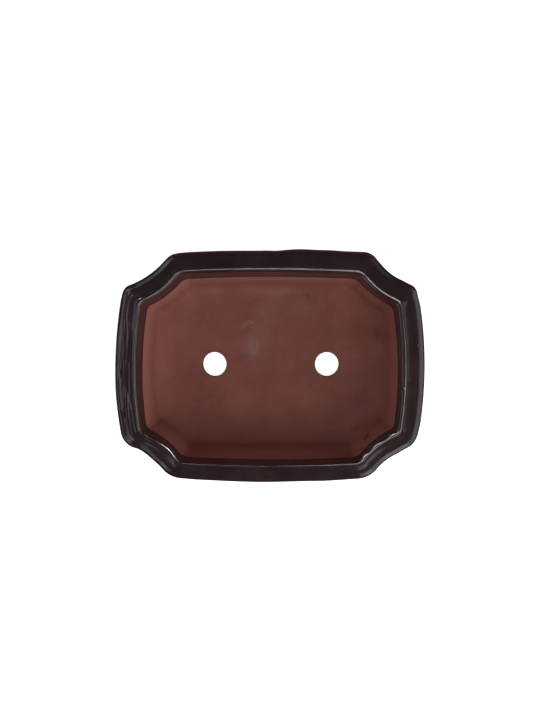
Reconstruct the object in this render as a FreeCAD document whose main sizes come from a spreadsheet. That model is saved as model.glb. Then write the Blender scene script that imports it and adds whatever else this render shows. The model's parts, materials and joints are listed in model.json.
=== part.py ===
import FreeCAD, Part
import math
import os
import Sketcher

# Bonsai pot with indented corners, slab built and glazed. Millimetres, +Z up, the origin on the
# table under the middle of the pot, +X along its length. An inset is a distance in from the
# glazed outline of the lip, so one family of outlines gives every wall, coil, foot and coat.

dimensions = {
    # plan outline of the lip
    "halfLength": 102.5,
    "halfWidth": 76.9,
    "longBow": 1077.0,
    "shortBow": 271.4,
    "indentBow": 48.4,
    "indentCentreX": 108.5,
    "indentCentreY": 99.8,
    "longFillet": 18.0,
    "shortFillet": 13.5,
    "leastFillet": 5.0,
    # where the panels are mitred together
    "seamLongX": 67.0,
    "seamLongY": 74.85,
    "seamLongAngle": 58.7,
    "seamShortX": 97.4,
    "seamShortY": 52.7,
    "seamShortAngle": 44.0,
    "seamOutreach": 15.0,
    "seamInreach": 48.0,
    # levels above the table
    "footTop": 9.0,
    "floorTop": 17.0,
    "wallTop": 60.0,
    "potTop": 70.0,
    "glazeLine": 57.0,
    "footGlazeLine": 2.5,
    # insets of the faces
    "wallFootInset": 15.6,
    "wallThickness": 7.0,
    "wallRunIn": 7.6,
    "crestInset": 11.5,
    "lowerRoll": 3.0,
    "upperRoll": 4.2,
    "upperRollDrop": 2.2,
    "coveRadius": 12.0,
    "seamLap": 1.0,
    "glazeCoat": 0.5,
    # drain holes
    "drainDiameter": 17.0,
    "drainSpacing": 80.0,
    # feet
    "footInset": 16.6,
    "footTaper": 1.2,
    "footThickness": 12.0,
    "footEndX": 35.0,
    "footEndY": 19.0,
    "footEndRadius": 7.0,
}

doc = FreeCAD.newDocument("BonsaiPot")
sheet = doc.addObject("Spreadsheet::Sheet", "Dims")
for row, (alias, value) in enumerate(dimensions.items(), start=1):
    sheet.set(f"A{row}", alias)
    sheet.set(f"B{row}", str(value))
    sheet.setAlias(f"B{row}", alias)
doc.recompute()

nodes = []
origin = (-1, 1)
yAxis = -2
xAxis = -1
quadrants = [(1, 1), (-1, 1), (-1, -1), (1, -1)]
sides = {"front": (0, -1), "back": (0, 1), "left": (-1, 0), "right": (1, 0)}
corners = {"front_left": (-1, -1), "front_right": (1, -1), "back_left": (-1, 1), "back_right": (1, 1)}


def node(obj, label):
    obj.Label = label
    nodes.append(obj)
    return obj


def read(expression):
    return float(sheet.evalExpression(expression))


def bind(sketch, index, name, expression):
    sketch.renameConstraint(index, name)
    sketch.setExpression(f"Constraints.{name}", expression)


def bodySketch(body, name, height):
    plane = next(datum for datum in body.Origin.OriginFeatures if datum.Role == "XY_Plane")
    sketch = body.newObject("Sketcher::SketchObject", name)
    sketch.AttachmentSupport = [(plane, "")]
    sketch.MapMode = "FlatFace"
    sketch.setExpression("AttachmentOffset.Base.z", height)
    return sketch


def circleMeet(centreA, radiusA, centreB, radiusB, near):
    # the crossing of two circles that lies closer to the point near
    gap = centreB - centreA
    along = (gap.Length ** 2 + radiusA ** 2 - radiusB ** 2) / (2 * gap.Length)
    across = math.sqrt(max(radiusA ** 2 - along ** 2, 0.0))
    unit = gap / gap.Length
    side = FreeCAD.Vector(-unit.y, unit.x, 0)
    found = [centreA + unit * along + side * across * sign for sign in (1, -1)]
    return min(found, key=lambda point: (point - near).Length)


def quarterArcs(inset):
    # the five arcs of the +X +Y quarter: half short side, fillet, indent, fillet, half long side,
    # each as centre, radius and its two ends
    vector = FreeCAD.Vector
    longRadius = read("Dims.longBow") - inset
    shortRadius = read("Dims.shortBow") - inset
    indentRadius = read("Dims.indentBow") + inset
    longCentre = vector(0, read("Dims.halfWidth - Dims.longBow"), 0)
    shortCentre = vector(read("Dims.halfLength - Dims.shortBow"), 0, 0)
    indentCentre = vector(read("Dims.indentCentreX"), read("Dims.indentCentreY"), 0)
    least = read("Dims.leastFillet")
    longFillet = max(read("Dims.longFillet") - inset, least)
    shortFillet = max(read("Dims.shortFillet") - inset, least)
    longCorner = vector(read("Dims.seamLongX"), read("Dims.seamLongY"), 0)
    shortCorner = vector(read("Dims.seamShortX"), read("Dims.seamShortY"), 0)
    longHub = circleMeet(longCentre, longRadius - longFillet,
                         indentCentre, indentRadius + longFillet, longCorner)
    shortHub = circleMeet(shortCentre, shortRadius - shortFillet,
                          indentCentre, indentRadius + shortFillet, shortCorner)

    def toward(start, end, distance):
        return start + (end - start).normalize() * distance

    longTouch = toward(longCentre, longHub, longRadius)
    longInner = toward(indentCentre, longHub, indentRadius)
    shortInner = toward(indentCentre, shortHub, indentRadius)
    shortTouch = toward(shortCentre, shortHub, shortRadius)
    shortMiddle = shortCentre + vector(shortRadius, 0, 0)
    longMiddle = longCentre + vector(0, longRadius, 0)
    return [(shortCentre, shortRadius, shortMiddle, shortTouch),
            (shortHub, shortFillet, shortTouch, shortInner),
            (indentCentre, indentRadius, shortInner, longInner),
            (longHub, longFillet, longInner, longTouch),
            (longCentre, longRadius, longTouch, longMiddle)]


def arcBetween(centre, radius, start, end):
    # the short arc about the centre, kept anticlockwise as sketches need it
    first = math.atan2(start.y - centre.y, start.x - centre.x)
    last = math.atan2(end.y - centre.y, end.x - centre.x)
    turn = (last - first) % (2 * math.pi)
    if turn > math.pi:
        first, last = last, first
    circle = Part.Circle(centre, FreeCAD.Vector(0, 0, 1), radius)
    return Part.ArcOfCircle(circle, first, first + (last - first) % (2 * math.pi))


def outline(name, inset, height, body=None):
    # one closed outline of sixteen arcs, tangent all round, at an inset and a level
    expression = f"({inset})"
    quarter = quarterArcs(read(expression))
    vector = FreeCAD.Vector
    radii = {"short": f"Dims.shortBow - {expression}",
             "shortFillet": f"max(Dims.shortFillet - {expression}; Dims.leastFillet)",
             "indent": f"Dims.indentBow + {expression}",
             "longFillet": f"max(Dims.longFillet - {expression}; Dims.leastFillet)",
             "long": f"Dims.longBow - {expression}"}
    if body:
        sketch = bodySketch(body, name, height)
    else:
        sketch = doc.addObject("Sketcher::SketchObject", name)
        sketch.setExpression("Placement.Base.z", height)

    def mirrored(point, signs):
        return vector(point.x * signs[0], point.y * signs[1], 0)

    loop = []
    for count, signs in enumerate(quadrants):
        kinds = list(zip(radii, quarter))
        if signs[0] * signs[1] < 0:
            kinds = [(kind, (hub, radius, end, start)) for kind, (hub, radius, start, end) in kinds[::-1]]
        for kind, (hub, radius, start, end) in kinds:
            hub, start, end = (mirrored(point, signs) for point in (hub, start, end))
            if loop and loop[-1][0] == kind:
                loop[-1][4] = end
            else:
                loop.append([kind, hub, radius, start, end, signs])
    loop[0][3] = loop[-1][3]
    loop.pop()

    rims = []
    for kind, hub, radius, start, end, signs in loop:
        arc = arcBetween(hub, radius, start, end)
        index = sketch.addGeometry(arc, False)
        forward = (arc.StartPoint - start).Length < (arc.EndPoint - start).Length
        rims.append((index, 1 if forward else 2, 2 if forward else 1))
    for (index, _, last), (following, first, _) in zip(rims, rims[1:] + rims[:1]):
        sketch.addConstraint(Sketcher.Constraint("Tangent", index, last, following, first))

    leaders = {}
    for (kind, hub, radius, _, _, signs), (index, _, _) in zip(loop, rims):
        if kind in leaders:
            sketch.addConstraint(Sketcher.Constraint("Equal", leaders[kind], index))
        else:
            leaders[kind] = index
            made = sketch.addConstraint(Sketcher.Constraint("Radius", index, radius))
            bind(sketch, made, f"{kind}Radius", radii[kind])
        if kind == "indent":
            for axis, signed, place in (("X", signs[0], hub.x), ("Y", signs[1], hub.y)):
                made = sketch.addConstraint(Sketcher.Constraint(f"Distance{axis}", *origin, index, 3, place))
                bind(sketch, made, f"indent{axis}{index}", f"{signed} * Dims.indentCentre{axis}")
        if kind in ("short", "long"):
            across, along, half = ("Y", "X", "halfLength") if kind == "short" else ("X", "Y", "halfWidth")
            axisLine = xAxis if kind == "short" else yAxis
            sketch.addConstraint(Sketcher.Constraint("PointOnObject", index, 3, axisLine))
            place = hub.x if kind == "short" else hub.y
            sign = 1 if place < 0 else -1
            made = sketch.addConstraint(Sketcher.Constraint(f"Distance{along}", *origin, index, 3, place))
            bind(sketch, made, f"{kind}Centre{index}", f"{sign} * (Dims.{half} - Dims.{kind}Bow)")
    return sketch


def feature(kind, name, **links):
    obj = doc.addObject(kind, name)
    for key, value in links.items():
        setattr(obj, key, value)
    return obj


def loft(name, levels):
    # a solid through outlines given as (inset, height), joined by straight lines
    sections = [outline(f"{name}Level{count}", inset, height)
                for count, (inset, height) in enumerate(levels)]
    return feature("Part::Loft", name, Sections=sections, Solid=True, Ruled=True)


def cut(name, base, tool):
    return feature("Part::Cut", name, Base=base, Tool=tool)


def common(name, base, tool):
    return feature("Part::Common", name, Base=base, Tool=tool)


# ---- faces shared by several pieces, as insets and heights ----

wallFoot = "Dims.wallFootInset"
wallHead = "Dims.wallFootInset - Dims.wallRunIn"
wallSlope = "Dims.wallRunIn / (Dims.wallTop - Dims.floorTop)"
aboveTop = "Dims.potTop + 1"


def innerFace(height):
    # inset of the straight inner face of wall and lip at a height
    return f"{wallFoot} + Dims.wallThickness - {wallSlope} * ({height} - Dims.floorTop)"


def outerFace(height):
    return f"{wallFoot} - {wallSlope} * ({height} - Dims.floorTop)"


def lipLevels(coat):
    # round the rolled edge from the underside to the crest, the coat being 0 on the bare clay
    levels = []
    for angle in (-90, -60, -30, 0):
        levels.append((f"Dims.glazeCoat + Dims.lowerRoll - (Dims.lowerRoll + {coat}) * cos({angle})",
                       f"Dims.wallTop + Dims.lowerRoll + (Dims.lowerRoll + {coat}) * sin({angle})"))
    for angle in (0, 25, 50, 75):
        levels.append((f"Dims.glazeCoat + Dims.upperRoll - (Dims.upperRoll + {coat}) * cos({angle})",
                       f"Dims.potTop - Dims.glazeCoat - Dims.upperRollDrop - Dims.upperRoll"
                       f" + (Dims.upperRoll + {coat}) * sin({angle})"))
    return levels + [("Dims.crestInset", f"Dims.potTop - Dims.glazeCoat + {coat}")]


def coveLevels():
    # a hollow quarter round between floor and wall, stopped short of a feather edge
    levels = []
    for angle in (0, 20, 40, 58, 75):
        height = f"Dims.floorTop + Dims.coveRadius * (1 - cos({angle}))"
        levels.append((f"{innerFace(height)} + Dims.coveRadius * (1 - sin({angle}))", height))
    return levels


# ---- mitre wedges that part a ring into its panels ----

def seamPoint(kind, reach, signs):
    # a point on a mitre line, reach out from the corner of the outline
    return [f"{sign} * (Dims.seam{kind}{axis} + ({reach}) * {turn}(Dims.seam{kind}Angle))"
            for sign, axis, turn in zip(signs, "XY", ("cos", "sin"))]


def wedge(name, ends):
    # a tall prism between two mitre lines, each given as the seam's kind and its quadrant
    sketch = doc.addObject("Sketcher::SketchObject", f"{name}Plan")
    (firstKind, firstSigns), (lastKind, lastSigns) = ends
    points = [seamPoint(firstKind, "Dims.seamOutreach", firstSigns),
              seamPoint(firstKind, "-Dims.seamInreach", firstSigns),
              seamPoint(lastKind, "-Dims.seamInreach", lastSigns),
              seamPoint(lastKind, "Dims.seamOutreach", lastSigns)]
    places = [FreeCAD.Vector(read(x), read(y), 0) for x, y in points]
    for start, end in zip(places, places[1:] + places[:1]):
        sketch.addGeometry(Part.LineSegment(start, end), False)
    for index, (x, y) in enumerate(points):
        following = (index + 1) % len(points)
        sketch.addConstraint(Sketcher.Constraint("Coincident", index, 2, following, 1))
        for axis, expression in (("X", x), ("Y", y)):
            made = sketch.addConstraint(
                Sketcher.Constraint(f"Distance{axis}", *origin, index, 1, read(expression)))
            bind(sketch, made, f"corner{index}{axis}", expression)
    prism = feature("Part::Extrusion", name, Base=sketch, Dir=FreeCAD.Vector(0, 0, 1), Solid=True)
    prism.setExpression("LengthFwd", aboveTop)
    return prism


def panelWedges():
    wedges = {}
    for place, (x, y) in sides.items():
        kind = "Long" if y else "Short"
        firstSigns, lastSigns = ((1, y), (-1, y)) if y else ((x, 1), (x, -1))
        wedges[place] = wedge(f"{place}Wedge", ((kind, firstSigns), (kind, lastSigns)))
    for place, signs in corners.items():
        wedges[place] = wedge(f"{place.replace('_', '')}Wedge", (("Long", signs), ("Short", signs)))
    return wedges


def partRing(ring, wedges, sideLabel, cornerLabel):
    for place, cutter in wedges.items():
        label = (sideLabel if place in sides else cornerLabel).format(place)
        node(common(label.title().replace("_", ""), ring, cutter), label)


# ---- sub-parts ----

def floorSlab():
    body = doc.addObject("PartDesign::Body", "FloorSlab")
    plan = outline("FloorPlan", wallFoot, "Dims.footTop", body)
    slab = body.newObject("PartDesign::Pad", "SlabPad")
    slab.Profile = plan
    slab.setExpression("Length", "Dims.floorTop - Dims.footTop")
    doc.recompute()
    solidVolume = slab.Shape.Volume

    centres = bodySketch(body, "DrainCentres", "Dims.floorTop")
    for sign in (1, -1):
        circle = Part.Circle(FreeCAD.Vector(sign * read("Dims.drainSpacing") / 2, 0, 0),
                             FreeCAD.Vector(0, 0, 1), read("Dims.drainDiameter") / 2)
        index = centres.addGeometry(circle, False)
        made = centres.addConstraint(Sketcher.Constraint("Radius", index, circle.Radius))
        bind(centres, made, f"radius{index}", "Dims.drainDiameter / 2")
        centres.addConstraint(Sketcher.Constraint("PointOnObject", index, 3, xAxis))
        made = centres.addConstraint(
            Sketcher.Constraint("DistanceX", *origin, index, 3, circle.Center.x))
        bind(centres, made, f"place{index}", f"{sign} * Dims.drainSpacing / 2")
    doc.recompute()
    drains = body.newObject("PartDesign::Pocket", "DrainHoles")
    drains.Profile = centres
    drains.Type = "ThroughAll"
    doc.recompute()
    bored = solidVolume - drains.Shape.Volume
    wanted = 2 * math.pi * (read("Dims.drainDiameter") / 2) ** 2 * read("Dims.floorTop - Dims.footTop")
    if abs(bored - wanted) > 1:
        raise RuntimeError("the drain holes do not go through the floor slab")
    node(body, "floor_slab")


def wallsAndLip(wedges):
    cavity = loft("Cavity", [(innerFace("Dims.floorTop"), "Dims.floorTop"), (innerFace(aboveTop), aboveTop)])
    wallBlock = loft("WallBlock", [(wallFoot, "Dims.floorTop"), (wallHead, "Dims.wallTop")])
    lipBlock = loft("LipBlock", lipLevels("0"))
    wallRing = cut("WallRing", wallBlock, cavity)
    lipRing = cut("LipRing", lipBlock, cavity)
    partRing(wallRing, wedges, "{}_wall", "{}_corner_wall")
    partRing(lipRing, wedges, "{}_lip", "{}_lip_corner")
    return wallBlock, wallRing, lipRing


def seamCoils(wedges, wallRing):
    levels = coveLevels()
    block = loft("CoilBlock", [(f"{innerFace(height)} - Dims.seamLap", height)
                               for height in (levels[0][1], levels[-1][1])])
    hollowed = cut("CoilHollowed", block, loft("CoilHollow", levels))
    partRing(cut("CoilRing", hollowed, wallRing), wedges, "{}_seam_coil", "{}_seam_coil")


def footBoxes():
    boxes = {}
    for place, signs in corners.items():
        box = feature("Part::Box", f"{place.replace('_', '')}FootBox")
        for axis, size, sign in zip("XY", ("Length", "Width"), signs):
            start = f"Dims.footEnd{axis}" if sign > 0 else f"-Dims.half{size}"
            box.setExpression(f"Placement.Base.{axis.lower()}", start)
            box.setExpression(size, f"Dims.half{size} - Dims.footEnd{axis}")
        box.setExpression("Height", "Dims.footTop")
        boxes[place] = box
    return boxes


def footArches():
    # cylinders that round the end of each foot up into the floor slab
    arches = []
    runs = [("X", "Width", FreeCAD.Vector(1, 0, 0)), ("Y", "Length", FreeCAD.Vector(0, 1, 0))]
    for sign in (1, -1):
        for axis, half, turn in runs:
            arch = feature("Part::Cylinder", f"FootArch{axis}{'Plus' if sign > 0 else 'Minus'}")
            arch.setExpression("Radius", "Dims.footEndRadius")
            arch.setExpression("Height", f"2 * Dims.half{half}")
            arch.Placement = FreeCAD.Placement(FreeCAD.Vector(), FreeCAD.Rotation(turn, 90))
            along = "y" if axis == "X" else "x"
            lead = 1 if axis == "X" else -1
            arch.setExpression(f"Placement.Base.{axis.lower()}", f"{sign} * Dims.footEnd{axis}")
            arch.setExpression(f"Placement.Base.{along}", f"{lead} * Dims.half{half}")
            arches.append(arch)
    return feature("Part::MultiFuse", "FootArches", Shapes=arches)


def feet():
    boxes = footBoxes()
    arches = footArches()
    splay = "Dims.footInset + Dims.footTaper"
    outer = loft("FootOuter", [(splay, "0"), ("Dims.footInset", "Dims.footTop")])
    inner = loft("FootInner", [(f"{splay} + Dims.footThickness", "0"),
                               ("Dims.footInset + Dims.footThickness", "Dims.footTop")])
    ring = cut("FootArched", cut("FootRing", outer, inner), arches)
    for place, box in boxes.items():
        node(common(f"{place.title().replace('_', '')}Foot", ring, box), f"{place}_foot")

    lower = f"{splay} - Dims.footTaper * Dims.footGlazeLine / Dims.footTop - Dims.glazeCoat"
    coated = loft("FootCoated", [(lower, "Dims.footGlazeLine"),
                                 ("Dims.footInset - Dims.glazeCoat", "Dims.footTop")])
    skin = cut("FootSkinArched", cut("FootSkin", coated, outer), arches)
    blocks = feature("Part::Compound", "FootBoxes", Links=list(boxes.values()))
    node(common("FootGlaze", skin, blocks), "foot_glaze")


def glaze(wallBlock, wallRing, lipRing):
    underLip = "Dims.wallTop - Dims.glazeCoat"
    wallLevels = [(f"{wallFoot} - Dims.glazeCoat", "Dims.footTop"),
                  (f"{wallFoot} - Dims.glazeCoat", "Dims.floorTop"),
                  (f"{outerFace(underLip)} - Dims.glazeCoat", underLip)]
    slabBlock = loft("SlabBlock", [(wallFoot, "Dims.footTop"), (wallFoot, "Dims.floorTop")])
    clay = feature("Part::MultiFuse", "OuterClay", Shapes=[wallBlock, slabBlock])
    node(cut("WallGlaze", loft("WallCoated", wallLevels), clay), "wall_glaze")

    coatedCavity = loft("CoatedCavity", [(f"{innerFace(height)} + Dims.glazeCoat", height)
                                         for height in ("Dims.glazeLine", aboveTop)])
    band = loft("InnerBand", [(f"{innerFace(height)} - Dims.seamLap", height)
                              for height in ("Dims.glazeLine", underLip)])
    lipCoat = loft("LipCoat", lipLevels("Dims.glazeCoat"))
    coated = feature("Part::MultiFuse", "LipCoated", Shapes=[band, lipCoat])
    clayRings = feature("Part::MultiFuse", "ClayRings", Shapes=[wallRing, lipRing])
    node(cut("LipGlaze", cut("LipCoatedOpen", coated, coatedCavity), clayRings), "lip_glaze")


def writeNodes():
    doc.recompute()
    for obj in doc.Objects:
        if "Invalid" in obj.State or "Error" in obj.State:
            raise RuntimeError(f"{obj.Label}: {obj.State}")
    for obj in nodes:
        if obj.Shape.isNull() or not obj.Shape.isValid() or not obj.Shape.Solids:
            raise RuntimeError(f"{obj.Label}: no valid solid")
    os.makedirs("parts", exist_ok=True)
    for obj in nodes:
        obj.Shape.exportStep(f"parts/{obj.Label}.step")
        print(f"{obj.Label}: {len(obj.Shape.Solids)} solid, {obj.Shape.Volume / 1000:.2f} cm3")


def main():
    wedges = panelWedges()
    floorSlab()
    wallBlock, wallRing, lipRing = wallsAndLip(wedges)
    seamCoils(wedges, wallRing)
    feet()
    glaze(wallBlock, wallRing, lipRing)
    writeNodes()


main()
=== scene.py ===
import json
import math
import bmesh
import bpy
import numpy as np
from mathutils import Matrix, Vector, noise


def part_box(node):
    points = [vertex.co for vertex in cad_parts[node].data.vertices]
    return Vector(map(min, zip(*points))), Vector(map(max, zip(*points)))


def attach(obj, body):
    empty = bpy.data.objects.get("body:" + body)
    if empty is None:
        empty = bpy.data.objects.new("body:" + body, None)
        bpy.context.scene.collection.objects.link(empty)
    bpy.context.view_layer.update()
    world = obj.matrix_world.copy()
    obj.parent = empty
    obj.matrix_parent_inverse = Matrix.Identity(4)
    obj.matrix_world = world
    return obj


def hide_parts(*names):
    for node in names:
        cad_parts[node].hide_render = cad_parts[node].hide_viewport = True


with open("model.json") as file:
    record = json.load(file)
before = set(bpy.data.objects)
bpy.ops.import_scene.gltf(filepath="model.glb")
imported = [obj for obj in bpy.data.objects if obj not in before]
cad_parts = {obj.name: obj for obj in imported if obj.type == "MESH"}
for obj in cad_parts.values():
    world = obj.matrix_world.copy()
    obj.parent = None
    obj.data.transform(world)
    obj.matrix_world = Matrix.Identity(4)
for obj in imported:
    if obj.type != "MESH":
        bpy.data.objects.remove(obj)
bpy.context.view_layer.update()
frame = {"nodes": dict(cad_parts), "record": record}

mm = 0.001
weldGap = 1e-6
leastEdge = 1e-7
low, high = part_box("lip_glaze")
slabLow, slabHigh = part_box("floor_slab")
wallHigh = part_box("front_wall")[1]
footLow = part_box("back_right_foot")[0]
mounts = {mount["name"]: mount for mount in frame["record"]["mounts"]}
drainMount = mounts["drain_hole_right"]

# the pot in plan, in metres: sizes off the frame, and the same arcs as the part's source
plan = {
    "halfLength": high.x,
    "halfWidth": high.y,
    "longBow": 1.077,
    "shortBow": 0.2714,
    "indentBow": 0.0484,
    "indentCentre": (0.1085, 0.0998),
    "longCorner": (0.067, 0.07485),
    "shortCorner": (0.0974, 0.0527),
    "longFillet": 0.018,
    "shortFillet": 0.0135,
    "backCrisper": 0.62,                # the back's corners are turned tighter than the front's
    "leastLongFillet": 0.0085,
    "leastShortFillet": 0.0055,
    "lipMiddle": 6 * mm,                # bearings round the pot are taken along this inset
    "steps": (44, 17, 26, 20, 50),      # vertices along short side, fillet, indent, fillet, long side
}
quarterSteps = sum(plan["steps"])
ringCount = 4 * quarterSteps

# heights and insets of the section, in metres, read off the frame
level = {
    "footTop": slabLow.z,
    "floor": slabHigh.z,
    "wallTop": wallHigh.z,
    "glazeLine": low.z,
    "top": high.z,
}
coat = 0.5 * mm
wall = {
    "footInset": high.x - slabHigh.x,
    "runIn": 7.6 * mm,
    "thickness": 7.0 * mm,
    "cove": 12.0 * mm,
}
wallLean = wall["runIn"] / (level["wallTop"] - level["floor"])


def innerFace(height):
    return wall["footInset"] + wall["thickness"] - wallLean * (height - level["floor"])


def outerFace(height):
    return wall["footInset"] - wallLean * (max(height, level["floor"]) - level["floor"])


def circleMeet(centreA, radiusA, centreB, radiusB, near):
    # where two circles cross, at the crossing closer to the point near
    gap = centreB - centreA
    reach = np.linalg.norm(gap, axis=-1)
    along = (reach ** 2 + radiusA ** 2 - radiusB ** 2) / (2 * reach)
    across = np.sqrt(np.maximum(radiusA ** 2 - along ** 2, 0))
    unit = gap / reach[..., None]
    side = np.stack([-unit[..., 1], unit[..., 0]], -1)
    first = centreA + unit * along[..., None] + side * across[..., None]
    second = centreA + unit * along[..., None] - side * across[..., None]
    keep = np.linalg.norm(first - near, axis=-1) < np.linalg.norm(second - near, axis=-1)
    return np.where(keep[..., None], first, second)


def quarterPoint(place, inset, soft=1.0):
    # points of the +X +Y quarter: place runs from the short side's middle, 0, to the long side's
    place, inset = np.broadcast_arrays(np.asarray(place, float), np.asarray(inset, float))
    shape = place.shape
    longCentre = np.broadcast_to([0.0, plan["halfWidth"] - plan["longBow"]], shape + (2,))
    shortCentre = np.broadcast_to([plan["halfLength"] - plan["shortBow"], 0.0], shape + (2,))
    indentCentre = np.broadcast_to(plan["indentCentre"], shape + (2,))
    longRadius = plan["longBow"] - inset
    shortRadius = plan["shortBow"] - inset
    indentRadius = plan["indentBow"] + inset
    longFillet = np.maximum(plan["longFillet"] * soft - inset, plan["leastLongFillet"])
    shortFillet = np.maximum(plan["shortFillet"] * soft - inset, plan["leastShortFillet"])
    longHub = circleMeet(longCentre, longRadius - longFillet,
                         indentCentre, indentRadius + longFillet, plan["longCorner"])
    shortHub = circleMeet(shortCentre, shortRadius - shortFillet,
                          indentCentre, indentRadius + shortFillet, plan["shortCorner"])

    def heading(start, end):
        return np.arctan2(end[..., 1] - start[..., 1], end[..., 0] - start[..., 0])

    shortTurn = heading(shortCentre, shortHub)
    shortIndent = heading(shortHub, indentCentre)
    longIndent = heading(longHub, indentCentre)
    longTurn = heading(longCentre, longHub)
    arcs = [(shortCentre, shortRadius, np.zeros(shape), shortTurn),
            (shortHub, shortFillet, shortTurn, shortIndent),
            (indentCentre, indentRadius, shortIndent + math.pi, longIndent + math.pi),
            (longHub, longFillet, longIndent, longTurn),
            (longCentre, longRadius, longTurn, np.full(shape, math.pi / 2))]
    points = np.zeros(shape + (2,))
    begin = 0.0
    for steps, (centre, radius, first, last) in zip(plan["steps"], arcs):
        share = np.clip((place - begin) / steps, 0, 1)
        angle = first + (last - first) * share
        spot = centre + np.stack([np.cos(angle), np.sin(angle)], -1) * radius[..., None]
        here = (place >= begin) if begin else np.ones(shape, bool)
        points = np.where(here[..., None], spot, points)
        begin += steps
    return points


steps = np.arange(quarterSteps)
ringPlace = np.concatenate([steps, quarterSteps - steps, steps, quarterSteps - steps]).astype(float)
ringSigns = np.repeat([(1, 1), (-1, 1), (-1, -1), (1, -1)], quarterSteps, axis=0).astype(float)
ringSoft = np.where(ringSigns[:, 1] > 0, plan["backCrisper"], 1.0)


def ringPoints(inset):
    return quarterPoint(ringPlace, inset, ringSoft) * ringSigns


midLip = ringPoints(plan["lipMiddle"])
ringBearing = np.degrees(np.arctan2(midLip[:, 1], midLip[:, 0])) % 360     # 0 right, 90 back, 180 left

# what the maker's hands left: an outline that swells here and there, and a mouth a little off centre
handWork = {
    "slack": 0.5 * mm,                # the outline keeps this far inside its full size
    "swells": ((44, 9, 0.65), (74, 9, 0.72), (96, 14, -0.4), (136, 5, -0.4),    # bearing, spread, mm
               (158, 14, -0.3), (194, 12, 0.3), (211, 4, -0.7), (264, 20, 0.55),
               (316, 8, -0.45), (334, 3, -0.6), (25.5, 2.5, -0.7), (31.5, 2.5, 0.4),
               (61, 5, 0.42), (86, 4, -0.3), (133, 3, -0.45), (153, 3, -0.42),
               (219, 3, 0.25), (230, 3, -0.25), (297, 6, 0.25), (327, 3, 0.4)),
    "mouthForward": 1.0 * mm,         # the mouth sits nearer the front
    "mouthShort": 1.2 * mm,           # and stops short of the ends
    "mouthShortFrom": (40 * mm, 90 * mm),
    "lineTilt": 2.6 * mm,             # the glaze line inside runs higher at the front, lower at the back
    "lineWander": 0.5 * mm,
}


def bearingBell(bearing, spread):
    # 1 at a bearing in degrees, dying away over the spread to either side
    away = (ringBearing - bearing + 180) % 360 - 180
    return np.exp(-(away / spread) ** 2)


edgeSwell = sum(amount * mm * bearingBell(bearing, spread) for bearing, spread, amount in handWork["swells"])
edgeSwell = edgeSwell - handWork["slack"]


def mouthShift(points, height, share):
    # carries crest and inner walls forward and in from the ends, by nothing at the floor
    rise = smoothStep(height, level["floor"], level["wallTop"]) * share
    inward = smoothStep(np.abs(points[:, 0]), *handWork["mouthShortFrom"]) * np.sign(points[:, 0])
    moved = points.copy()
    moved[:, 0] -= handWork["mouthShort"] * inward * rise
    moved[:, 1] -= handWork["mouthForward"] * rise
    return moved


def startRing(bm, count):
    return bmesh.ops.create_circle(bm, segments=count, radius=0.1)["verts"]


def ringEdges(bm, ring, closed=True):
    pairs = zip(ring, ring[1:] + ring[:1]) if closed else zip(ring, ring[1:])
    return [bm.edges.get(pair) for pair in pairs]


def nextRing(bm, ring, closed=True):
    # pull a fresh ring out of the last one and return it in the same order
    made = bmesh.ops.extrude_edge_only(bm, edges=ringEdges(bm, ring, closed))
    fresh = {item for item in made["geom"] if isinstance(item, bmesh.types.BMVert)}
    return [next(edge.other_vert(vert) for edge in vert.link_edges if edge.other_vert(vert) in fresh)
            for vert in ring]


def placeRing(ring, points, heights):
    heights = np.broadcast_to(heights, (len(ring),))
    for vert, (x, y), z in zip(ring, points, heights):
        vert.co = (x, y, z)


def finishPiece(bm, name, material, replaced):
    bmesh.ops.remove_doubles(bm, verts=bm.verts, dist=weldGap)
    bmesh.ops.dissolve_degenerate(bm, edges=bm.edges, dist=leastEdge)
    bmesh.ops.recalc_face_normals(bm, faces=bm.faces)
    for face in bm.faces:
        face.smooth = True
    mesh = bpy.data.meshes.new(name)
    bm.to_mesh(mesh)
    bm.free()
    piece = bpy.data.objects.new(name, mesh)
    bpy.context.scene.collection.objects.link(piece)
    mesh.materials.append(material)
    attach(piece, "root")
    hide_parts(*replaced)
    print(f"{name}: {len(mesh.polygons)} faces")
    return piece


def straight(start, end, count):
    return [tuple(point) for point in np.linspace(start, end, count + 1)[1:]]


def smoothStep(value, start, end):
    share = np.clip((value - start) / (end - start), 0, 1)
    return share * share * (3 - 2 * share)


def noiseRow(points, scale, seed):
    # one noise value a point; scale is in features a metre, along each axis
    stretched = np.array(points) * np.array(scale)
    return np.array([noise.noise(Vector((x + seed, y - seed, z + 0.5 * seed))) for x, y, z in stretched])


def newMaterial(name):
    material = bpy.data.materials.new(name)
    material.use_nodes = True
    tree = material.node_tree
    tree.nodes.clear()
    output = tree.nodes.new("ShaderNodeOutputMaterial")
    shader = tree.nodes.new("ShaderNodeBsdfPrincipled")
    tree.links.new(shader.outputs["BSDF"], output.inputs["Surface"])
    coords = tree.nodes.new("ShaderNodeTexCoord")
    return material, tree, shader, coords.outputs["Object"]


def noiseNode(tree, vector, scale, detail, roughness=0.55, distortion=0.0):
    node = tree.nodes.new("ShaderNodeTexNoise")
    node.inputs["Scale"].default_value = scale
    node.inputs["Detail"].default_value = detail
    node.inputs["Roughness"].default_value = roughness
    node.inputs["Distortion"].default_value = distortion
    tree.links.new(vector, node.inputs["Vector"])
    return node.outputs["Fac"]


def rampNode(tree, factor, stops):
    node = tree.nodes.new("ShaderNodeValToRGB")
    ramp = node.color_ramp
    while len(ramp.elements) < len(stops):
        ramp.elements.new(0.5)
    for element, (position, colour) in zip(ramp.elements, stops):
        element.position = position
        element.color = (*colour, 1)
    tree.links.new(factor, node.inputs["Fac"])
    return node.outputs["Color"]


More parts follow.
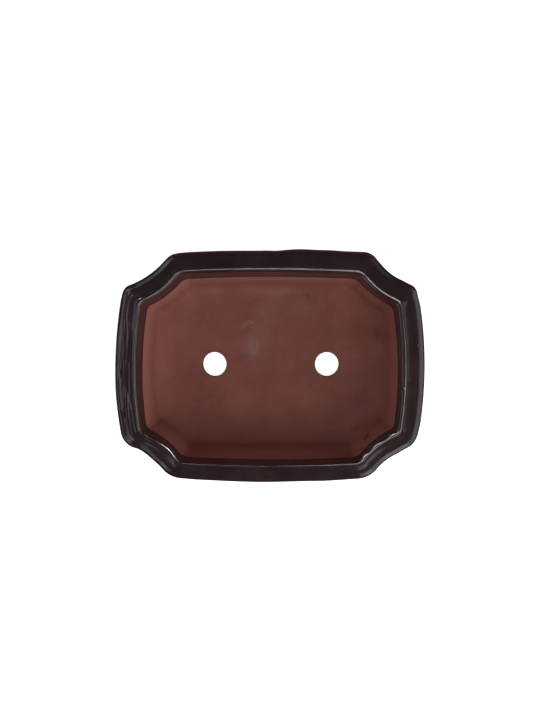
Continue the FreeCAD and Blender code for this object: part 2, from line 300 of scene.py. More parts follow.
def greyRamp(tree, factor, start, end, low=0.0, high=1.0):
    return rampNode(tree, factor, [(start, (low,) * 3), (end, (high,) * 3)])


def mixColour(tree, factor, first, second):
    node = tree.nodes.new("ShaderNodeMix")
    node.data_type = "RGBA"
    for socket, value in (("Factor", factor), ("A", first), ("B", second)):
        target = next(item for item in node.inputs
                      if item.name == socket and item.type == ("VALUE" if socket == "Factor" else "RGBA"))
        if hasattr(value, "is_linked"):
            tree.links.new(value, target)
        elif socket == "Factor":
            target.default_value = value
        else:
            target.default_value = (*value, 1)
    return next(item for item in node.outputs if item.type == "RGBA")


def mathNode(tree, operation, first, second=0.0, clamp=False):
    node = tree.nodes.new("ShaderNodeMath")
    node.operation = operation
    node.use_clamp = clamp
    for socket, value in zip(node.inputs, (first, second)):
        if hasattr(value, "is_linked"):
            tree.links.new(value, socket)
        else:
            socket.default_value = value
    return node.outputs[0]


def bumpNode(tree, height, strength, distance, normal=None):
    node = tree.nodes.new("ShaderNodeBump")
    node.inputs["Strength"].default_value = strength
    node.inputs["Distance"].default_value = distance
    tree.links.new(height, node.inputs["Height"])
    if normal is not None:
        tree.links.new(normal, node.inputs["Normal"])
    return node.outputs["Normal"]


def attributeNode(tree, name):
    node = tree.nodes.new("ShaderNodeAttribute")
    node.attribute_type = "GEOMETRY"
    node.attribute_name = name
    return node.outputs["Fac"]


def softSpot(tree, where, place, size, turn):
    # 1 at a place on the pot in millimetres, fading to 0 at its size away along its two axes
    mapping = tree.nodes.new("ShaderNodeMapping")
    mapping.vector_type = "TEXTURE"
    mapping.inputs["Location"].default_value = (place[0] * mm, place[1] * mm, level["floor"])
    mapping.inputs["Rotation"].default_value = (0, 0, math.radians(turn))
    mapping.inputs["Scale"].default_value = (size[0] * mm, size[1] * mm, clayLook["markReach"])
    spot = tree.nodes.new("ShaderNodeTexGradient")
    spot.gradient_type = "SPHERICAL"
    tree.links.new(where, mapping.inputs["Vector"])
    tree.links.new(mapping.outputs["Vector"], spot.inputs["Vector"])
    return spot.outputs["Fac"]


def spotsTogether(tree, where, spots):
    # spots given as (x, y), (half length, half width), turn, strength
    total = None
    for place, size, turn, strength in spots:
        one = mathNode(tree, "MULTIPLY", softSpot(tree, where, place, size, turn), strength)
        total = one if total is None else mathNode(tree, "ADD", total, one, clamp=True)
    return total


glazeLook = {
    "thick": (0.028, 0.0153, 0.0160),    # pooled glaze, near black
    "body": (0.041, 0.0223, 0.0230),
    "thin": (0.150, 0.047, 0.036),       # breaks to red brown on edges
    "roughness": (0.08, 0.15),
    "pimpleEvery": 45,                   # cells a metre, a pimple in each
    "pimpleSize": 0.06,                  # of a cell
    "clouds": (55, 4),                   # features a metre, detail
    "flecks": (420, 3),
    "patches": (130, 3),
    "peel": (380, 2),
    "slowWaves": (75, 2),
    "pimpleBump": (0.8, 0.0003),         # strength, depth
    "peelBump": (0.12, 0.0002),
    "slowBump": (0.35, 0.0004),
    "indexOfRefraction": 1.5,
}


def brownGlaze():
    material, tree, shader, where = newMaterial("brownGlaze")
    cloud = noiseNode(tree, where, *glazeLook["clouds"])
    fleck = noiseNode(tree, where, *glazeLook["flecks"])
    mottled = mixColour(tree, greyRamp(tree, cloud, 0.38, 0.66), glazeLook["thick"], glazeLook["body"])
    thin = attributeNode(tree, "thin")
    broken = mathNode(tree, "MULTIPLY", thin, greyRamp(tree, fleck, 0.25, 0.75, 0.65, 1.0), clamp=True)
    colour = mixColour(tree, broken, mottled, glazeLook["thin"])
    tree.links.new(colour, shader.inputs["Base Color"])
    smooth, rough = glazeLook["roughness"]
    patch = noiseNode(tree, where, *glazeLook["patches"])
    tree.links.new(greyRamp(tree, patch, 0.3, 0.75, smooth, rough), shader.inputs["Roughness"])
    shader.inputs["IOR"].default_value = glazeLook["indexOfRefraction"]
    cells = tree.nodes.new("ShaderNodeTexVoronoi")
    cells.inputs["Scale"].default_value = glazeLook["pimpleEvery"]
    tree.links.new(where, cells.inputs["Vector"])
    pimples = greyRamp(tree, cells.outputs["Distance"], 0.0, glazeLook["pimpleSize"], 1.0, 0.0)
    raised = bumpNode(tree, pimples, *glazeLook["pimpleBump"])
    peel = bumpNode(tree, noiseNode(tree, where, *glazeLook["peel"]), *glazeLook["peelBump"], raised)
    slow = bumpNode(tree, noiseNode(tree, where, *glazeLook["slowWaves"]), *glazeLook["slowBump"], peel)
    tree.links.new(slow, shader.inputs["Normal"])
    return material


clayLook = {
    "dark": (0.172, 0.047, 0.035),
    "body": (0.262, 0.083, 0.062),
    "light": (0.385, 0.146, 0.112),
    "dust": (0.40, 0.235, 0.205),
    # dark colour for soot marks and a scratch, also used as painted shade on the floor
    "soot": (0.085, 0.031, 0.027),
    "broad": (14, 4, 0.6, 0.4),          # features a metre, detail, roughness, distortion
    "patches": (70, 4),
    "grain": (1500, 2),
    "scuffs": (210, 5, 0.7, 1.2),
    "wear": (240, 4),
    "grainBump": (0.35, 0.00015),        # strength, depth
    "wearBump": (0.3, 0.0003),
    "roughness": (0.74, 0.9),
    "gloss": 0.10,
    "markReach": 140 * mm,               # how far up the walls a mark on the floor still shows
    # painted light: the walls are painted paler from one height up, as if lit more than the floor, which also
    # lightens the shade in the cove
    "wallPaintedLight": (0.013, 0.044, 1.0),     # walls pale from one height to another, by how much
    # on the floor: (x, y) in mm, (half length, half width), turn, strength
    "dusty": (((-18.6, 27.9), (6, 3), 25, 0.55), ((-14, 30), (3, 1.4), -30, 0.5),
              ((-13.6, 10.5), (9, 9), 0, 0.45), ((-10, 14), (16, 13), 65, 0.40), ((9, 51), (9, 3), 15, 0.50),
              ((-39, 52), (10, 4), 0, 0.38),
              ((-4, 36), (17, 11), 45, 0.40), ((20, 42), (14, 11), -20, 0.30), ((-62, 27), (20, 9), 60, 0.22),
              ((62, -33), (16, 9), 30, 0.22), ((-2, 52), (30, 6), 0, 0.30), ((50, 55), (8, 3), -20, 0.30)),
    # the small spots and the narrow scratch are dark marks; the broad faint ones are painted shade laid over
    # the floor, darker toward the front, the right and the back
    "sootAndShadeSpots": (((77, 20), (9, 6), -35, 0.75), ((74, 25), (5, 4), 0, 0.5), ((60, -45), (10, 3), 15, 0.6),
              ((45, -49), (13, 4), -5, 0.45), ((28, -15), (3, 1.5), 60, 0.7), ((68, -18), (17, 26), 0, 0.30),
              ((30, 49), (26, 9), 0, 0.50), ((65.5, -49.4), (5.8, 1.0), 52, 1.5),
              ((52, -12), (6, 4), 0, 0.30),
              ((70, -40), (34, 30), 0, 0.15), ((-50, -36), (30, 16), -25, 0.25), ((0, 46), (60, 26), 0, 0.34),
              ((-66, 40), (34, 26), 0, 0.25), ((55, 10), (34, 50), 0, 0.16)),
}


def firedClay():
    material, tree, shader, where = newMaterial("firedClay")
    broad = noiseNode(tree, where, *clayLook["broad"])
    patch = noiseNode(tree, where, *clayLook["patches"])
    grain = noiseNode(tree, where, *clayLook["grain"])
    scuff = noiseNode(tree, where, *clayLook["scuffs"])
    base = mixColour(tree, greyRamp(tree, broad, 0.22, 0.72), clayLook["dark"], clayLook["body"])
    base = mixColour(tree, greyRamp(tree, patch, 0.40, 0.75, 0, 0.34), base, clayLook["light"])
    height = tree.nodes.new("ShaderNodeSeparateXYZ")
    tree.links.new(where, height.inputs["Vector"])
    # painted light: the walls are made paler with height
    lowest, highest, amount = clayLook["wallPaintedLight"]
    paintedWallLight = greyRamp(tree, height.outputs["Z"], lowest, highest, 0, amount)
    base = mixColour(tree, paintedWallLight, base, clayLook["light"])
    uneven = greyRamp(tree, scuff, 0.35, 0.65, 0.25, 1.0)
    dusty = mathNode(tree, "MULTIPLY", spotsTogether(tree, where, clayLook["dusty"]), uneven)
    base = mixColour(tree, dusty, base, clayLook["dust"])
    # darkens the floor with soot marks and with painted shade
    sootAndShadeSpots = mathNode(tree, "MULTIPLY", spotsTogether(tree, where, clayLook["sootAndShadeSpots"]), uneven)
    base = mixColour(tree, sootAndShadeSpots, base, clayLook["soot"])
    base = mixColour(tree, greyRamp(tree, grain, 0.3, 0.75, 0.0, 0.32), base, clayLook["light"])
    tree.links.new(base, shader.inputs["Base Color"])
    tree.links.new(greyRamp(tree, patch, 0.3, 0.7, *clayLook["roughness"]), shader.inputs["Roughness"])
    shader.inputs["Specular IOR Level"].default_value = clayLook["gloss"]
    sand = bumpNode(tree, grain, *clayLook["grainBump"])
    worn = bumpNode(tree, noiseNode(tree, where, *clayLook["wear"]), *clayLook["wearBump"], sand)
    tree.links.new(worn, shader.inputs["Normal"])
    return material


glazeMaterial = brownGlaze()
clayMaterial = firedClay()
print("materials ready")


# the glaze coat: inside band, crest, rolled lip and outside walls in one skin
coatShape = {
    "mouthInset": 12.35 * mm,         # the crest, in from the outline
    "crestRadius": ((0, 3.0), (90, 2.2), (180, 1.55), (270, 0.35)),      # bearing, mm
    # flatter places inside the front corners' crest, as if the glaze had pooled there: turn, spread and
    # bend radius, then where they are as bearing and spread
    "flats": ((75, 0.9, 13 * mm), (82, 3.0, 9 * mm)),
    "flatPlaces": ((219.5, 4.5), (316.5, 1.8), (323.5, 2.0), (330.5, 1.4)),
    "lowerRoll": (3.2 * mm, 4.6 * mm),          # inward, upward
    "rollBends": ((110, 9.0), (130, 9.0), (136, 2.2), (180, 2.2)),     # where its normal points, mm
    "rollDrop": 2.5 * mm,
    "ripple": 0.05 * mm,
    "leftRidges": 0.24 * mm,          # the left lip's glaze ran in long ridges
    "ridgesFrom": (72 * mm, 90 * mm),
    "mitreRidge": 0.15 * mm,
    "mitreSpread": 1.3,
    "mitres": (151.6, 208.4),
    "ledge": 0.2 * mm,                # second line inside the right crest
    "ledgePlace": -1.9 * mm,
    "ledgeBearing": (10, 38),
    "buried": 1.3 * mm,
}


def bendCurve(turns, bends):
    # offsets along a section whose normal swings through turns, with a bend radius between each
    middle = (turns[1:] + turns[:-1]) / 2
    run = bends * np.diff(turns)[:, None]
    offsets = np.zeros((len(turns), ringCount, 2))
    offsets[1:, :, 0] = -np.cumsum(run * np.sin(middle)[:, None], axis=0)
    offsets[1:, :, 1] = np.cumsum(run * np.cos(middle)[:, None], axis=0)
    return offsets


def crestCurve():
    # over the crest, from the cavity side to the face of the lip, as offsets from its top
    turns = np.radians(np.concatenate([np.linspace(4, 60, 8), np.linspace(64, 104, 21)]))
    bearings, radii = zip(*coatShape["crestRadius"])
    radius = np.interp(ringBearing, bearings, np.array(radii) * mm, period=360)
    pooled = sum(bearingBell(bearing, spread) for bearing, spread in coatShape["flatPlaces"])
    middle = np.degrees(turns[1:] + turns[:-1]) / 2
    extra = sum(bend * np.exp(-((middle - turn) / spread) ** 2) for turn, spread, bend in coatShape["flats"])
    offsets = bendCurve(turns, radius + extra[:, None] * pooled)
    topmost = int(np.argmin(np.abs(turns - math.pi / 2)))
    return offsets - offsets[topmost], topmost


def rollCurve(top):
    # the rolled edge: a broad shoulder, a tighter edge, then an oval under it
    turns = np.radians(np.linspace(110, 180, 18))
    bearings, radii = zip(*coatShape["rollBends"])
    bends = np.interp(np.degrees(turns[1:] + turns[:-1]) / 2, bearings, np.array(radii) * mm)
    upper = bendCurve(turns, np.repeat(bends[:, None], ringCount, axis=1))
    upper += (-upper[-1, 0, 0], top - coatShape["rollDrop"])
    inward, upward = coatShape["lowerRoll"]
    under = level["wallTop"] - coat
    upward = min(upward, upper[-1, 0, 1] - under)
    lower = [(inward * (1 - math.cos(turn)), under + upward * (1 - math.sin(turn)))
             for turn in np.radians(np.linspace(5, 85, 9))]
    return list(upper) + lower


def coatProfile():
    # (inset, height) rows round the ring, from the glaze line in the cavity to the foot of the wall
    line, top, under = level["glazeLine"], level["top"] - 0.1 * mm, level["wallTop"] - coat
    edge = innerFace(line)
    bead = [(edge - 0.4 * mm, line - 0.2 * mm), (edge + 0.05 * mm, line + 0.05 * mm),
            (edge + coat * 0.8, line + 0.25 * mm), (edge + coat + 0.2 * mm, line + 0.8 * mm),
            (innerFace(line + 1.6 * mm) + coat + 0.12 * mm, line + 1.6 * mm)]
    bandFoot = (innerFace(line + 2.4 * mm) + coat, line + 2.4 * mm)
    crest, topmost = crestCurve()
    crest = crest + (coatShape["mouthInset"], top)
    roll = rollCurve(top)
    shares = np.linspace(0, 1, 19)[:-1]
    band = [(1 - share) * np.array(bandFoot) + share * crest[0] for share in shares]
    face = [(1 - share) * crest[-1] + share * roll[0] for share in np.linspace(0, 1, 25)[1:-1]]
    wallHead = (outerFace(under) - coat, under)
    wallFoot = outerFace(level["floor"]) - coat
    outside = straight(roll[-1], (wallHead[0] - 1.4 * mm, under), 3)
    outside += [(wallHead[0] - 0.45 * mm, under - 0.4 * mm), (wallHead[0] + 0.02 * mm, under - 1.6 * mm)]
    outside += straight(outside[-1], (wallFoot, level["floor"]), 26)
    outside += straight(outside[-1], (wallFoot, level["footTop"] + 1.0 * mm), 6)
    outside += [(wallFoot + 0.2 * mm, level["footTop"] + 0.35 * mm),
                (wallFoot + 0.8 * mm, level["footTop"] + 0.15 * mm)]
    rows = bead + band + list(crest) + face + roll + outside
    rows = np.array([np.broadcast_to(row, (ringCount, 2)) for row in rows])
    inside = len(bead) + len(band)
    marks = {"crest": inside + topmost, "face": inside + len(crest), "roll": inside + len(crest) + len(face)}
    marks["under"] = marks["roll"] + len(roll)
    return rows, marks


def sectionNormals(rows):
    run = np.gradient(rows, axis=0)
    run /= np.maximum(np.linalg.norm(run, axis=2, keepdims=True), 1e-9)
    return np.stack([run[..., 1], -run[..., 0]], 2)


def ringNoise(reach, along, over, seed):
    # noise that runs on smoothly round the ring: along and over are features a metre
    return noiseRow(np.column_stack([midLip, reach]), (along, along, over), seed)


def coatRipple(reach, onLip):
    # how far the glaze stands proud at one ring, reach being metres out from the crest
    left = smoothStep(-midLip[:, 0], *coatShape["ridgesFrom"])
    right = bearingBell(*coatShape["ledgeBearing"])
    ripple = coatShape["ripple"] * (0.4 * ringNoise(reach, 45, 90, 14.7) + ringNoise(reach, 16, 16, 21.9))
    ridge = 1 - np.minimum(2.2 * np.abs(ringNoise(reach, 17, 250, 3.1)), 1)
    ridge += 0.5 * (1 - np.minimum(2.5 * np.abs(ringNoise(reach, 34, 420, 8.4)), 1))
    runs = left * coatShape["leftRidges"] * ridge
    mitre = sum(bearingBell(bearing, coatShape["mitreSpread"]) for bearing in coatShape["mitres"])
    mitre = coatShape["mitreRidge"] * mitre
    ledge = coatShape["ledge"] * right * np.exp(-((reach - coatShape["ledgePlace"]) / (0.4 * mm)) ** 2)
    lip = smoothStep(reach, 1.0 * mm, 3.0 * mm) * onLip
    return ripple + lip * (runs + mitre) - coatShape["ripple"] + ledge


def coatThinness(rows, marks):
    # 1 where the glaze runs thin and shows the clay's red through it
    top, line = level["top"], level["glazeLine"]
    thin = np.zeros(rows.shape[:2])
    heights = rows[..., 1]
    inside = np.arange(len(rows))[:, None] < marks["crest"]
    thin = np.where(inside, 0.12 * smoothStep(heights, line + 0.6 * mm, line + 1.8 * mm), thin)
    thin = np.where(inside, thin * (1 - 0.5 * smoothStep(heights, top - 3.0 * mm, top - 1.0 * mm)), thin)
    thin = np.maximum(thin, 0.10 * smoothStep(heights, top - 0.8 * mm, top - 0.2 * mm))
    outermost = smoothStep(-rows[..., 0], -2.6 * mm, -0.8 * mm) * (heights > level["wallTop"])
    backEdge = smoothStep(midLip[:, 1], 60 * mm, 72 * mm)
    thin = np.maximum(thin, outermost * (0.10 + 0.85 * backEdge))
    base = smoothStep(-heights, -(level["footTop"] + 2.5 * mm), -(level["footTop"] + 0.4 * mm))
    return np.maximum(thin, 0.4 * base)


def coatReturn():
    # buried inner side of the coat, back up through the clay to the glaze line
    under, buried = level["wallTop"], coatShape["buried"]
    wallFoot, wallHead = outerFace(level["floor"]) + buried, outerFace(under) + buried
    return [(wallFoot, level["footTop"] + 0.6 * mm, 0), (wallFoot, level["floor"], 0),
            (wallHead, under - 1 * mm, 0), (wallHead, under + 3 * mm, 0),
            (innerFace(level["top"]) - 2 * buried, level["top"] - 4 * mm, 1),
            (innerFace(under) - buried, under, 1)]


def glazeCoat():
    rows, marks = coatProfile()
    normals = sectionNormals(rows)
    thin = coatThinness(rows, marks)
    steps = np.linalg.norm(np.diff(rows, axis=0), axis=2).mean(axis=1)
    reach = np.concatenate([[0], np.cumsum(steps)])
    reach -= reach[marks["crest"]]
    line, top = level["glazeLine"], level["top"]
    lineRise = handWork["lineWander"] * ringNoise(np.zeros(ringCount), 22, 1, 5.5)
    lineRise -= handWork["lineTilt"] * midLip[:, 1] / plan["halfWidth"]
    bm = bmesh.new()
    thinLayer = bm.verts.layers.float.new("thin")
    ring = startRing(bm, ringCount)
    for count, row in enumerate(rows):
        if count:
            ring = nextRing(bm, ring)
        insets, heights = row[:, 0], row[:, 1]
        onLip = 1.0 if count < marks["under"] else 0.0
        bumps = coatRipple(np.full(ringCount, reach[count]), onLip)
        bumps *= smoothStep(count, 0, 4) * smoothStep(len(rows) - 1 - count, 0, 3)
        if count < marks["crest"]:
            lift = lineRise * (1 - smoothStep(heights, line, top - 1.5 * mm))
            insets = insets - wallLean * lift
            heights = heights + lift
        swell = edgeSwell * onLip * smoothStep(-insets, -coatShape["mouthInset"], -plan["lipMiddle"])
        share = 1 - smoothStep(count, marks["face"], marks["roll"])
        placed = ringPoints(insets + bumps * normals[count, :, 0] - swell)
        heights = heights + bumps * normals[count, :, 1]
        placeRing(ring, mouthShift(placed, heights, share), heights)
        for vert, value in zip(ring, thin[count]):
            vert[thinLayer] = value
    for inset, height, share in coatReturn():
        ring = nextRing(bm, ring)
        placeRing(ring, mouthShift(ringPoints(np.full(ringCount, inset)), height, share), height)
    ring = nextRing(bm, ring)
    heights = rows[0, :, 1] + lineRise
    placed = ringPoints(rows[0, :, 0] - wallLean * lineRise)
    placeRing(ring, mouthShift(placed, heights, 1), heights)
    lips = [name for name in frame["nodes"] if "lip" in name]
    return finishPiece(bm, "glazeCoat", glazeMaterial, lips + ["wall_glaze"])


glazeCoat()


# the clay body: floor with its drain holes, cove and walls
clayShape = {
    "drainRadius": drainMount["dims"]["r_mm"] * mm,
    "drainX": drainMount["pos_m"][0],
    "edgeRound": 0.8 * mm,
    "middleSteps": 64,
    "floorSteps": 26,
    "undersideSteps": 10,
    "coveSteps": 14,
    "wallSteps": 20,
    "unevenFloor": 0.22 * mm,
    "undersideInset": 22.0 * mm,
    "floorSpread": 1.35,              # over 1 draws the floor's rings in toward the hole
    "drainWobble": 0.012,             # of the hole's radius
    "wobbleAcross": 1.5,              # features round the hole
    "wobbleUp": 90,                   # features a metre up it
    "underGlaze": 0.35 * mm,          # the clay hidden by the coat is drawn in this far
}


def floorBumps(points):
    rows = np.column_stack([points, np.zeros(len(points))])
    broad, fine = noiseRow(rows, (24, 24, 1), 2.2), noiseRow(rows, (90, 90, 1), 7.7)
    return clayShape["unevenFloor"] * (broad + 0.35 * fine)


def clayBumps(height):
    reach = np.full(ringCount, height)
    return 0.10 * mm * ringNoise(reach, 25, 60, 31.0) + 0.05 * mm * ringNoise(reach, 60, 260, 12.0)


def halfLoop(side, inset):
    # right or left half of an outline, closed by a straight run down the pot's middle
    points = ringPoints(np.full(ringCount, inset))
    quarter = quarterSteps
    if side > 0:
        order = list(range(3 * quarter, 4 * quarter)) + list(range(0, quarter + 1))
    else:
        order = list(range(quarter, 3 * quarter + 1))
    edge = points[order]
    count = clayShape["middleSteps"]
    middle = np.linspace(edge[-1], edge[0], count + 1)[1:-1]
    return np.concatenate([edge, middle])


def drainedHalf(bm, side):
    # from the underside in to the drain hole, up through it and out over the floor
    shape = clayShape
    centre = np.array([side * shape["drainX"], 0.0])
    under = halfLoop(side, shape["undersideInset"])
    over = halfLoop(side, innerFace(level["floor"]) + wall["cove"])

    def spoke(loop):
        return (loop - centre) / np.linalg.norm(loop - centre, axis=1, keepdims=True)

    def wobble(way, height):
        rows = np.column_stack([way * shape["wobbleAcross"], np.full(len(way), height * shape["wobbleUp"])])
        return 1 + shape["drainWobble"] * noiseRow(rows, (1, 1, 1), side * 4.0)

    radius, rounding = shape["drainRadius"], shape["edgeRound"]
    bottom, top = level["footTop"], level["floor"]
    ring = startRing(bm, len(under))
    start = centre + spoke(under) * (radius + rounding)
    for count, share in enumerate(np.linspace(1, 0, shape["undersideSteps"])):
        if count:
            ring = nextRing(bm, ring)
        placeRing(ring, start + (under - start) * share, bottom)
    throat = [(radius + rounding * 0.3, bottom + rounding * 0.3), (radius, bottom + rounding),
              (radius, (bottom + top) / 2), (radius, top - rounding * 1.1)]
    throat += [(radius + rounding * (1 - math.cos(turn)), top - rounding * (1 - math.sin(turn)))
               for turn in np.radians((22, 45, 68))]
    blend = np.linspace(0, 1, len(throat))
    for (reach, height), share in zip(throat, blend):
        ring = nextRing(bm, ring)
        way = spoke(under) * (1 - share) + spoke(over) * share
        way /= np.linalg.norm(way, axis=1, keepdims=True)
        placeRing(ring, centre + way * (reach * wobble(way, height))[:, None], height)
    start = centre + spoke(over) * ((radius + rounding) * wobble(spoke(over), top))[:, None]
    for share in np.linspace(0, 1, shape["floorSteps"]) ** shape["floorSpread"]:
        ring = nextRing(bm, ring)
        placed = start + (over - start) * share
        lift = floorBumps(placed) * smoothStep(np.full(len(placed), share), 0, 0.15)
        placeRing(ring, placed, top + lift)


def clayBody():
    shape = clayShape
    bm = bmesh.new()
    for side in (1, -1):
        drainedHalf(bm, side)
    floor, top, line = level["floor"], level["top"], level["glazeLine"]
    hidden = shape["underGlaze"]
    slab = outerFace(floor)
    profile = [(shape["undersideInset"], level["footTop"])]
    profile += straight(profile[0], (slab + 0.9 * mm, level["footTop"]), 3)
    profile += [(slab + 0.35 * mm, level["footTop"] + 0.3 * mm), (slab + hidden, level["footTop"] + 1 * mm),
                (slab + hidden, floor), (outerFace(level["wallTop"]) + hidden, level["wallTop"] - 0.5 * mm),
                (5.5 * mm, level["wallTop"] + 1.5 * mm), (6 * mm, top - 4.5 * mm), (10 * mm, top - 4.0 * mm)]
    insideFrom = len(profile) - 1
    covered = line + handWork["lineTilt"] + 1.2 * mm
    profile += [(innerFace(covered) - 1.2 * mm, covered + 2.0 * mm), (innerFace(covered), covered)]
    coveTop = floor + wall["cove"] * 0.985
    profile += straight(profile[-1], (innerFace(coveTop), coveTop), shape["wallSteps"])
    for turn in np.radians(np.linspace(84, 0, shape["coveSteps"])):
        rise = wall["cove"] * (1 - math.cos(turn))
        profile.append((innerFace(floor + rise) + wall["cove"] * (1 - math.sin(turn)), floor + rise))
    ring = startRing(bm, ringCount)
    for count, (inset, height) in enumerate(profile):
        if count:
            ring = nextRing(bm, ring)
        inside = count >= insideFrom
        seen = float(smoothStep(-height, -(line + 3 * mm), -line)) if inset > 12 * mm and inside else 0.0
        ease = float(smoothStep(height, floor, floor + 6 * mm))
        bumps = clayBumps(height) * seen * ease
        points = ringPoints(np.full(ringCount, inset) + bumps)
        points = mouthShift(points, height, 1.0 if inside else 0.0)
        lift = floorBumps(points) * (1 - ease) if inside else 0
        placeRing(ring, points, height + lift)
    nodes = [name for name in frame["nodes"] if "wall" in name and "glaze" not in name]
    nodes += [name for name in frame["nodes"] if "seam_coil" in name]
    return finishPiece(bm, "clayBody", clayMaterial, nodes + ["floor_slab"])


clayBody()


# the four bracket feet and their glaze
footShape = {
    "inset": 16.6 * mm,
    "splay": 1.2 * mm,
    "thickness": 12.0 * mm,
    "archRadius": 7.0 * mm,
    "endX": footLow.x,
    "endY": footLow.y,
    "pathSteps": 34,
    "glazeWander": 0.5 * mm,
    "levels": (0.0, 1.6, 3.2, 4.6, 5.8, 6.6, 7.0, 9.4),
    "bevel": 1.1 * mm,
    "bevelSteps": 3,
    "bevelAngle": 50,                 # edges turning more than this are softened
    "pathSamples": 900,               # for finding where the foot ends along the outline
}


def footEnds(height):
    arch = math.sqrt(max(footShape["archRadius"] ** 2 - height ** 2, 0.0))
    return footShape["endX"] + arch, footShape["endY"] + arch


def footPath(inset, height, count, signs):
    # points along the foot at one inset, from its end under the short side to that under the long side
    places = np.linspace(0, quarterSteps, footShape["pathSamples"])
    points = quarterPoint(places, np.full(len(places), inset))
    endX, endY = footEnds(height)
    first = np.interp(endY, points[:, 1], places)
    last = np.interp(-endX, -points[:, 0], places)
    picked = quarterPoint(np.linspace(first, last, count), np.full(count, inset))
    return picked * np.array(signs)


def footInset(height):
    return footShape["inset"] + footShape["splay"] * (1 - height / level["footTop"])


def bracketFoot(place, signs):
    bm = bmesh.new()
    count = footShape["pathSteps"]
    ring = startRing(bm, 2 * count)
    rings = []
    for number, step in enumerate(footShape["levels"]):
        height = step * mm
        if number:
            ring = nextRing(bm, ring)
        rings.append(ring)
        outer = footPath(footInset(height), height, count, signs)
        inner = footPath(footInset(height) + footShape["thickness"], height, count, signs)
        placeRing(ring, np.concatenate([outer, inner[::-1]]), height)
    for ring in (rings[0], rings[-1]):
        bmesh.ops.contextual_create(bm, geom=ringEdges(bm, ring))
    label = "foot" + "".join(part.title() for part in place.split("_"))
    piece = finishPiece(bm, label, clayMaterial, [f"{place}_foot"])
    bevel = piece.modifiers.new("softEdges", "BEVEL")
    bevel.width = footShape["bevel"]
    bevel.segments = footShape["bevelSteps"]
    bevel.limit_method = "ANGLE"
    bevel.angle_limit = math.radians(footShape["bevelAngle"])
    return piece


def footGlaze():
    # a strip of glaze round the outside of each foot, short of the table
    bm = bmesh.new()
    thinLayer = bm.verts.layers.float.new("thin")
    count = footShape["pathSteps"] * 2
    head = footShape["levels"][-1]
    # millimetres proud of the clay and up from the table
    section = [(-0.3, head), (0.45, head), (0.5, 7.5), (0.5, 6.2), (0.5, 5.0), (0.52, 4.0), (0.6, 3.3),
               (0.45, 2.85), (0.05, 2.6), (-0.35, 2.7), (-0.4, 5.0), (-0.3, head)]
    for signs in ((1, 1), (-1, 1), (-1, -1), (1, -1)):
        strip = startRing(bm, count + 1)
        bmesh.ops.delete(bm, geom=[bm.edges.get((strip[-1], strip[0]))], context="EDGES_FACES")
        spare = strip.pop()
        bmesh.ops.delete(bm, geom=[spare], context="VERTS")
        rows = []
        for number, (proud, step) in enumerate(section):
            if number:
                strip = nextRing(bm, strip, closed=False)
            height = step * mm
            points = footPath(footInset(height) - proud * mm, height, count, signs)
            flat = np.column_stack([points, np.zeros(len(points))])
            share = float(smoothStep(-step, -6.0, -3.5))
            wander = footShape["glazeWander"] * noiseRow(flat, (60, 60, 1), 9.9) * share
            placeRing(strip, points, height + wander)
            rows.append(strip)
            for vert in strip:
                vert[thinLayer] = 0.3 * float(smoothStep(-step, -4.2, -2.8))
        for end in (0, -1):
            loop = [row[end] for row in rows[:-1]]
            bmesh.ops.contextual_create(bm, geom=loop)
    return finishPiece(bm, "footGlaze", glazeMaterial, ["foot_glaze"])


corners = {"front_left": (-1, -1), "front_right": (1, -1), "back_left": (-1, 1), "back_right": (1, 1)}
for place, signs in corners.items():
    bracketFoot(place, signs)
footGlaze()


# stage, lights and camera
stageLook = {
    "floorSize": 6.0,
    "floorGap": 0.1 * mm,
    "floorWhite": (0.86, 0.86, 0.86),
    "floorGlow": 0.97,
    "bounceGrey": (0.16, 0.16, 0.165),
    "skyWhite": (1.0, 1.0, 1.0),
    "skyDim": (0.035, 0.035, 0.038),
}


def paleFloor():
    bm = bmesh.new()
    bmesh.ops.create_grid(bm, x_segments=2, y_segments=2, size=stageLook["floorSize"] / 2)
    bmesh.ops.translate(bm, verts=bm.verts, vec=(0, 0, -stageLook["floorGap"]))
    mesh = bpy.data.meshes.new("paleFloor")
    bm.to_mesh(mesh)
    bm.free()
    floor = bpy.data.objects.new("paleFloor", mesh)
    bpy.context.scene.collection.objects.link(floor)
    material = bpy.data.materials.new("paleFloor")
    material.use_nodes = True
    tree = material.node_tree
    tree.nodes.clear()
    output = tree.nodes.new("ShaderNodeOutputMaterial")
    white = tree.nodes.new("ShaderNodeBsdfDiffuse")
    white.inputs["Color"].default_value = (*stageLook["floorWhite"], 1)
    glow = tree.nodes.new("ShaderNodeEmission")
    glow.inputs["Strength"].default_value = stageLook["floorGlow"]
    lit = tree.nodes.new("ShaderNodeAddShader")
    grey = tree.nodes.new("ShaderNodeBsdfDiffuse")
    grey.inputs["Color"].default_value = (*stageLook["bounceGrey"], 1)
    choose = tree.nodes.new("ShaderNodeMixShader")
    path = tree.nodes.new("ShaderNodeLightPath")
    tree.links.new(white.outputs[0], lit.inputs[0])
    tree.links.new(glow.outputs[0], lit.inputs[1])
    tree.links.new(path.outputs["Is Camera Ray"], choose.inputs[0])
    tree.links.new(grey.outputs[0], choose.inputs[1])
    tree.links.new(lit.outputs[0], choose.inputs[2])
    tree.links.new(choose.outputs[0], output.inputs["Surface"])
    mesh.materials.append(material)


def backdrop():
    world = bpy.data.worlds.new("studio")
    bpy.context.scene.world = world
    world.use_nodes = True
    tree = world.node_tree
    tree.nodes.clear()
    output = tree.nodes.new("ShaderNodeOutputWorld")
    path = tree.nodes.new("ShaderNodeLightPath")
    shades = []
    for colour in (stageLook["skyDim"], stageLook["skyWhite"]):
        shade = tree.nodes.new("ShaderNodeBackground")
        shade.inputs["Color"].default_value = (*colour, 1)
        shades.append(shade.outputs[0])
    choose = tree.nodes.new("ShaderNodeMixShader")
    tree.links.new(path.outputs["Is Camera Ray"], choose.inputs[0])
    tree.links.new(shades[0], choose.inputs[1])
    tree.links.new(shades[1], choose.inputs[2])
    tree.links.new(choose.outputs[0], output.inputs["Surface"])


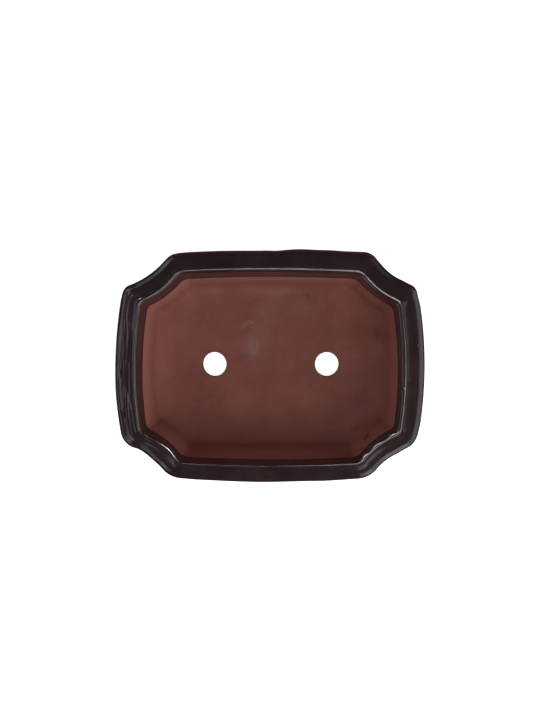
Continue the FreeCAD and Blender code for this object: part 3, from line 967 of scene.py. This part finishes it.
# each light: azimuth (0 to the right, 90 to the back), elevation, distance, width, height, radiance, and
# what it is there for: "both", "shine" for a card seen only in the glaze, "light" for one that only lights
lamps = {
    "panelRight": (-18, 22, 1.2, 2.3, 0.80, 1.35, "both"),
    "panelFrontRight": (-62, 21, 1.2, 0.55, 0.75, 1.0, "both"),
    "fadeRight": (6, 42.5, 1.2, 0.9, 0.12, 0.8, "shine"),
    "panelLeft": (180, 24, 1.2, 2.2, 0.42, 1.25, "both"),
    "panelFrontLeft": (222, 27, 1.2, 0.5, 0.5, 0.9, "shine"),
    "panelBackLeft": (138, 28, 1.2, 0.6, 0.5, 0.9, "shine"),
    "panelBackRight": (40, 28, 1.2, 0.35, 0.5, 0.4, "shine"),
    "stripLeft": (180, 46, 1.4, 2.0, 0.10, 1.7, "both"),
    "overhead": (-50, 80, 1.5, 0.50, 0.42, 7.0, "both"),
    "key": (-50, 53, 1.5, 0.60, 0.50, 6.0, "light"),
    "glintBackLeft": (123, 73, 1.5, 0.75, 0.07, 36.0, "shine"),
    "glintBackRight": (47, 73, 1.5, 0.32, 0.07, 55.0, "shine"),
}
lampColour = (0.90, 0.955, 1.0)
lampAim = 0.8                       # of the pot's height


def studioLamps():
    aim = Vector((0, 0, level["top"] * lampAim))
    for name, (azimuth, elevation, distance, width, height, radiance, purpose) in lamps.items():
        data = bpy.data.lights.new(name, "AREA")
        data.shape = "RECTANGLE"
        data.color = lampColour
        data.size = width
        data.size_y = height
        data.energy = radiance * math.pi * width * height
        lamp = bpy.data.objects.new(name, data)
        bpy.context.scene.collection.objects.link(lamp)
        lamp.visible_diffuse = purpose != "shine"
        lamp.visible_glossy = purpose != "light"
        turn, rise = math.radians(azimuth), math.radians(elevation)
        away = Vector((math.cos(turn) * math.cos(rise), math.sin(turn) * math.cos(rise), math.sin(rise)))
        lamp.location = aim + away * distance
        lamp.rotation_euler = away.to_track_quat("Z", "Y").to_euler()


cameraSet = {
    "lens": 45.97,
    "place": (0.008, 0.0166),       # off the middle, toward the right and the back
    "rise": 0.600,                  # above the rim
    "aim": (0.00018, 0.00404),
}


def overheadCamera():
    data = bpy.data.cameras.new("camera")
    data.lens = cameraSet["lens"]
    camera = bpy.data.objects.new("camera", data)
    bpy.context.scene.collection.objects.link(camera)
    camera.location = (*cameraSet["place"], level["top"] + cameraSet["rise"])
    turnX, turnY = (math.atan2(place - aim, cameraSet["rise"])
                    for place, aim in zip(cameraSet["place"], cameraSet["aim"]))
    camera.rotation_euler = (-turnY, turnX, 0)
    bpy.context.scene.camera = camera


paleFloor()
backdrop()
studioLamps()
overheadCamera()
bpy.context.scene.view_settings.view_transform = "Standard"
print("stage, lamps and camera set")
